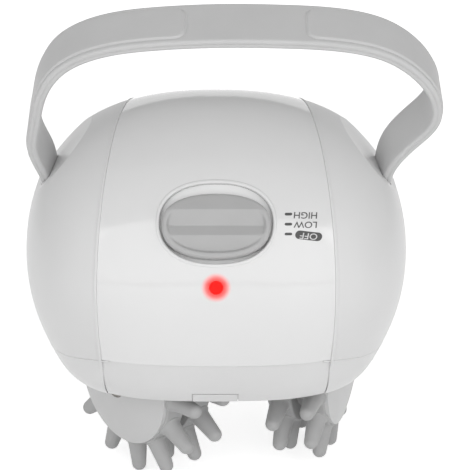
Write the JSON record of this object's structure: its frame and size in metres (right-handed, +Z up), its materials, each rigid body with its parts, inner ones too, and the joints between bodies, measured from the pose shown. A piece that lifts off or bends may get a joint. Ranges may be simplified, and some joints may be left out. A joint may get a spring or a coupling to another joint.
{
  "type": "electric roller massager",
  "caption": "Hand-held electric massager: domed white casing with a strap over the back of the hand and driven rubber finger rollers set in a V.",
  "frame": {"origin": "centre of the casing's flat underside", "axes": "+Z up, out of the dome's crown; -Y towards the side with the slide switch; +X to the right of somebody looking at the switch"},
  "size_m": [0.158, 0.1322, 0.1931],
  "materials": {
    "gloss_white": "gloss",
    "satin_white": "satin",
    "strap_grey": "satin",
    "knob_grey": "matte",
    "steel": "satin",
    "switch_black": "matte",
    "board_green": "satin",
    "light_red": "gloss",
    "cell_metal": "satin",
    "finger_rubber": "matte",
    "cap_grey": "satin",
    "wheel_white": "matte",
    "gear_white": "satin",
    "brass": "satin",
    "arm_steel": "satin",
    "motor_steel": "satin"
  },
  "bodies": {
    "casing": {"centre_cover": "gloss_white", "left_side_cover": "satin_white", "right_side_cover": "satin_white", "lower_housing": "satin_white", "front_catch": "satin_white", "battery_cells": "cell_metal", "battery_contacts": "steel", "hand_strap": "strap_grey", "strap_screws": "steel", "case_screws": "steel", "slide_switch": "steel", "control_board": "board_green", "board_screws": "steel", "light_lens": "light_red", "power_led": "light_red", "left_arm_outer_plate": "arm_steel", "left_arm_inner_plate": "arm_steel", "left_arm_rim": "arm_steel", "left_idler_pins": "arm_steel", "left_axle_bushes": "brass", "left_gear_motor": "motor_steel", "right_arm_outer_plate": "arm_steel", "right_arm_inner_plate": "arm_steel", "right_arm_rim": "arm_steel", "right_idler_pins": "arm_steel", "right_axle_bushes": "brass", "right_gear_motor": "motor_steel"},
    "battery_door": {"battery_door": "satin_white"},
    "switch_knob": {"slide_knob": "knob_grey", "switch_lever": "switch_black"},
    "left_roller": {"left_outer_finger_wheel": "finger_rubber", "left_inner_finger_wheel": "finger_rubber", "left_outer_wheel_centre": "wheel_white", "left_inner_wheel_centre": "wheel_white", "left_roller_cap": "cap_grey", "left_cap_screw": "brass", "left_roller_axle": "arm_steel", "left_axle_gear": "gear_white"},
    "left_lower_gear": {"left_lower_idler": "gear_white"},
    "left_upper_gear": {"left_upper_idler": "gear_white"},
    "left_drive": {"left_motor_pinion": "gear_white", "left_motor_shaft": "motor_steel"},
    "right_roller": {"right_outer_finger_wheel": "finger_rubber", "right_inner_finger_wheel": "finger_rubber", "right_outer_wheel_centre": "wheel_white", "right_inner_wheel_centre": "wheel_white", "right_roller_cap": "cap_grey", "right_cap_screw": "brass", "right_roller_axle": "arm_steel", "right_axle_gear": "gear_white"},
    "right_lower_gear": {"right_lower_idler": "gear_white"},
    "right_upper_gear": {"right_upper_idler": "gear_white"},
    "right_drive": {"right_motor_pinion": "gear_white", "right_motor_shaft": "motor_steel"}
  },
  "joints": [
    {"name": "battery_door_slide", "type": "slide", "parent": "casing", "child": "battery_door", "axis": [0, 0, -1], "range_m": [0, 0.025]},
    {"name": "switch_slide", "type": "slide", "parent": "casing", "child": "switch_knob", "axis": [0, 0.5272, 0.8497], "range_m": [0, 0.0036]},
    {"name": "left_roller_spin", "type": "hinge", "parent": "casing", "child": "left_roller", "pos_m": [-0.02804, -0.01283, -0.006], "axis": [-0.7408, -0.6717, 0], "continuous": true},
    {"name": "left_lower_gear_spin", "type": "hinge", "parent": "casing", "child": "left_lower_gear", "pos_m": [-0.02804, -0.01283, 0.015], "axis": [-0.7408, -0.6717, 0], "continuous": true},
    {"name": "left_upper_gear_spin", "type": "hinge", "parent": "casing", "child": "left_upper_gear", "pos_m": [-0.02804, -0.01283, 0.033], "axis": [-0.7408, -0.6717, 0], "continuous": true},
    {"name": "left_drive_spin", "type": "hinge", "parent": "casing", "child": "left_drive", "pos_m": [-0.02804, -0.01283, 0.049], "axis": [-0.7408, -0.6717, 0], "continuous": true},
    {"name": "right_roller_spin", "type": "hinge", "parent": "casing", "child": "right_roller", "pos_m": [0.04004, 0.00163, -0.006], "axis": [0.95, -0.3123, 0], "continuous": true},
    {"name": "right_lower_gear_spin", "type": "hinge", "parent": "casing", "child": "right_lower_gear", "pos_m": [0.04004, 0.00163, 0.015], "axis": [0.95, -0.3123, 0], "continuous": true},
    {"name": "right_upper_gear_spin", "type": "hinge", "parent": "casing", "child": "right_upper_gear", "pos_m": [0.04004, 0.00163, 0.033], "axis": [0.95, -0.3123, 0], "continuous": true},
    {"name": "right_drive_spin", "type": "hinge", "parent": "casing", "child": "right_drive", "pos_m": [0.04004, 0.00163, 0.049], "axis": [0.95, -0.3123, 0], "continuous": true}
  ],
  "couplings": [
    {"joint": "left_lower_gear_spin", "follows": "left_roller_spin", "ratio": -1.3333},
    {"joint": "left_upper_gear_spin", "follows": "left_roller_spin", "ratio": 1.3333},
    {"joint": "left_drive_spin", "follows": "left_roller_spin", "ratio": -1.7143},
    {"joint": "right_lower_gear_spin", "follows": "right_roller_spin", "ratio": -1.3333},
    {"joint": "right_upper_gear_spin", "follows": "right_roller_spin", "ratio": 1.3333},
    {"joint": "right_drive_spin", "follows": "right_roller_spin", "ratio": -1.7143}
  ]
}
